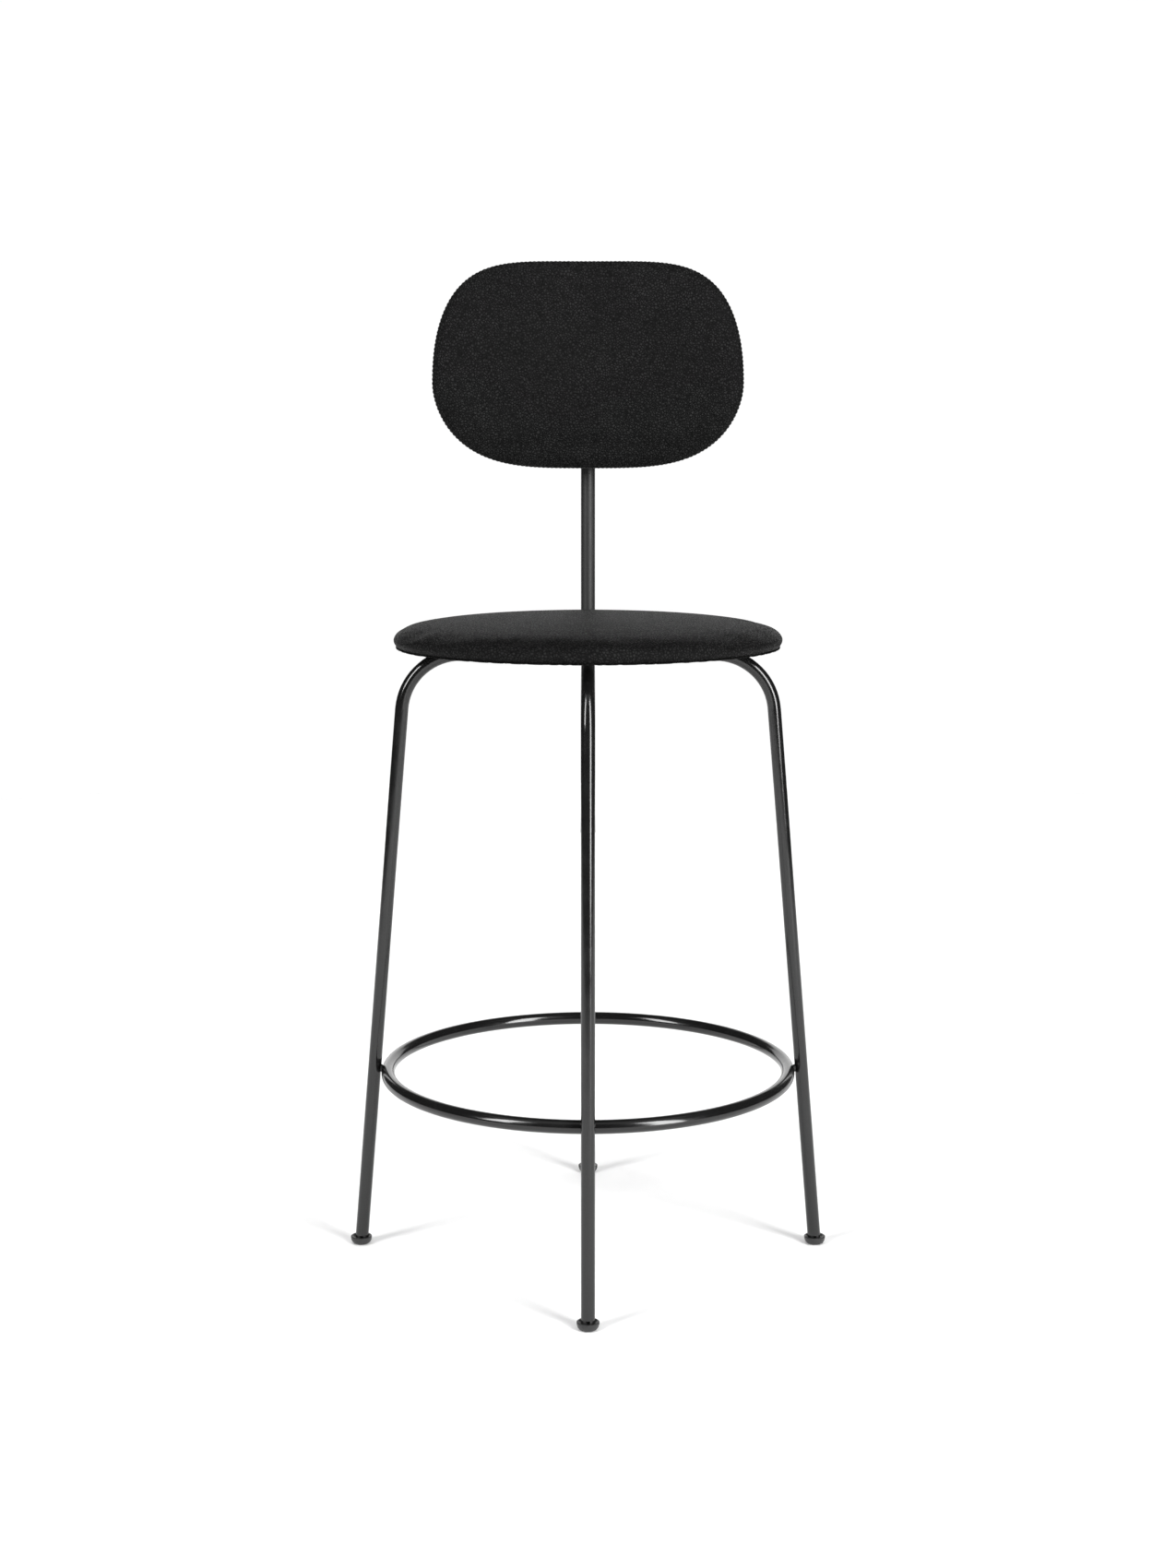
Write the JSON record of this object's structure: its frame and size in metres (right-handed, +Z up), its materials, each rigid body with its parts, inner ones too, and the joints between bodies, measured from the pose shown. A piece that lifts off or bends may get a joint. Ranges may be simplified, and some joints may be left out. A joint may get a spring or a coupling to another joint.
{
  "type": "bar stool with footrest",
  "caption": "Counter-height stool with bent tube legs, an inner footrest ring, a round padded seat and a padded backrest on a single post.",
  "frame": {"origin": "on the floor under the middle of the seat", "axes": "+Z up, +X to the right and -Y towards the front as seen from the front of the stool"},
  "size_m": [0.4908, 0.4908, 1.0102],
  "materials": {
    "frame": "satin black powder coat",
    "glide": "moulded black",
    "leather": "fine pebbled grain",
    "plywood": "sanded birch",
    "foam": "open cell foam",
    "lining": "non-woven",
    "screw": "black zinc",
    "zinc": "zinc plated"
  },
  "bodies": {
    "root": {"left_leg": "frame", "right_leg": "frame", "front_leg": "frame", "rear_leg": "frame", "centre_hub": "frame", "footrest_ring": "frame", "ring_studs": "frame", "seat_tabs": "frame", "back_post": "frame", "post_cap": "glide", "left_glide": "glide", "right_glide": "glide", "front_glide": "glide", "rear_glide": "glide", "seat_board": "plywood", "seat_foam": "foam", "seat_cover": "leather", "seat_staples": "zinc", "seat_lining": "lining", "seat_screws": "screw", "seat_tee_nuts": "zinc", "back_board": "plywood", "back_foam": "foam", "back_rear_pad": "foam", "back_front_cover": "leather", "back_rear_cover": "leather", "back_saddles": "glide", "back_screws": "screw", "back_tee_nuts": "zinc"}
  },
  "joints": []
}
